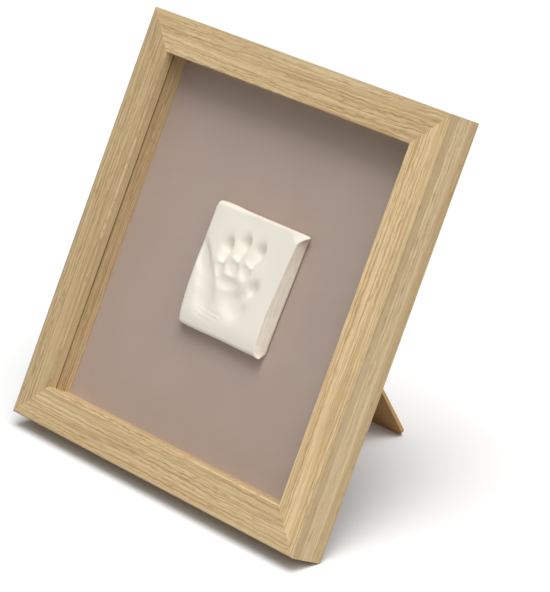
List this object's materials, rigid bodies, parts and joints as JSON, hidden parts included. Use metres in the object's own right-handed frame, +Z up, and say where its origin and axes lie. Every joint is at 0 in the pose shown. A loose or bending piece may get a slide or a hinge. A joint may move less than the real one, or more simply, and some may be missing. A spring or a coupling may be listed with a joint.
{
  "type": "picture frame",
  "caption": "Square deep box frame in light oak, leaning on a folding easel strut, with a clay slab that holds a baby's handprint behind glass on a taupe board.",
  "frame": {"origin": "on the table, in the middle of the frame's footprint as it stands on its lower rear edge and the strut's foot", "axes": "+X across the frame to the right seen from the front, +Y from the glass towards the strut, +Z up"},
  "size_m": [0.3, 0.1998, 0.2809],
  "materials": {
    "oak": "light oak foil with a straight grain, satin",
    "oak_spacer": "light oak foil, satin",
    "taupe_board": "matt",
    "clay": "matt air-dried modelling clay",
    "brown_board": "smooth fibre board, matt",
    "glass": "clear, polished",
    "steel": "zinc plated",
    "foam_tape": "foam"
  },
  "bodies": {
    "frame": {"top_rail": "oak", "bottom_rail": "oak", "left_rail": "oak", "right_rail": "oak", "corner_v_nails": "steel", "glass_pane": "glass", "top_spacer": "oak_spacer", "bottom_spacer": "oak_spacer", "left_spacer": "oak_spacer", "right_spacer": "oak_spacer", "display_board": "taupe_board", "adhesive_pads": "foam_tape", "clay_print": "clay", "back_board": "brown_board", "hinge_base_plate": "steel", "hinge_pin": "steel", "base_plate_rivets": "steel", "turn_button_screws": "steel"},
    "strut": {"easel_strut": "brown_board", "hinge_strut_leaf": "steel", "strut_rivets": "steel"},
    "left_upper_button": {"left_upper_turn_button": "steel"},
    "left_lower_button": {"left_lower_turn_button": "steel"},
    "right_upper_button": {"right_upper_turn_button": "steel"},
    "right_lower_button": {"right_lower_turn_button": "steel"}
  },
  "joints": [
    {"name": "strut_fold", "type": "hinge", "parent": "frame", "child": "strut", "pos_m": [0, 0.01287, 0.17673], "axis": [-1, 0, 0], "range_deg": [0, 52]},
    {"name": "left_upper_button_turn", "type": "hinge", "parent": "frame", "child": "left_upper_button", "pos_m": [-0.136, 0.02277, 0.20194], "axis": [0, 0.8988, -0.4384], "continuous": true},
    {"name": "left_lower_button_turn", "type": "hinge", "parent": "frame", "child": "left_lower_button", "pos_m": [-0.136, -0.04298, 0.06713], "axis": [0, 0.8988, -0.4384], "continuous": true},
    {"name": "right_upper_button_turn", "type": "hinge", "parent": "frame", "child": "right_upper_button", "pos_m": [0.136, 0.02277, 0.20194], "axis": [0, 0.8988, -0.4384], "continuous": true},
    {"name": "right_lower_button_turn", "type": "hinge", "parent": "frame", "child": "right_lower_button", "pos_m": [0.136, -0.04298, 0.06713], "axis": [0, 0.8988, -0.4384], "continuous": true}
  ]
}
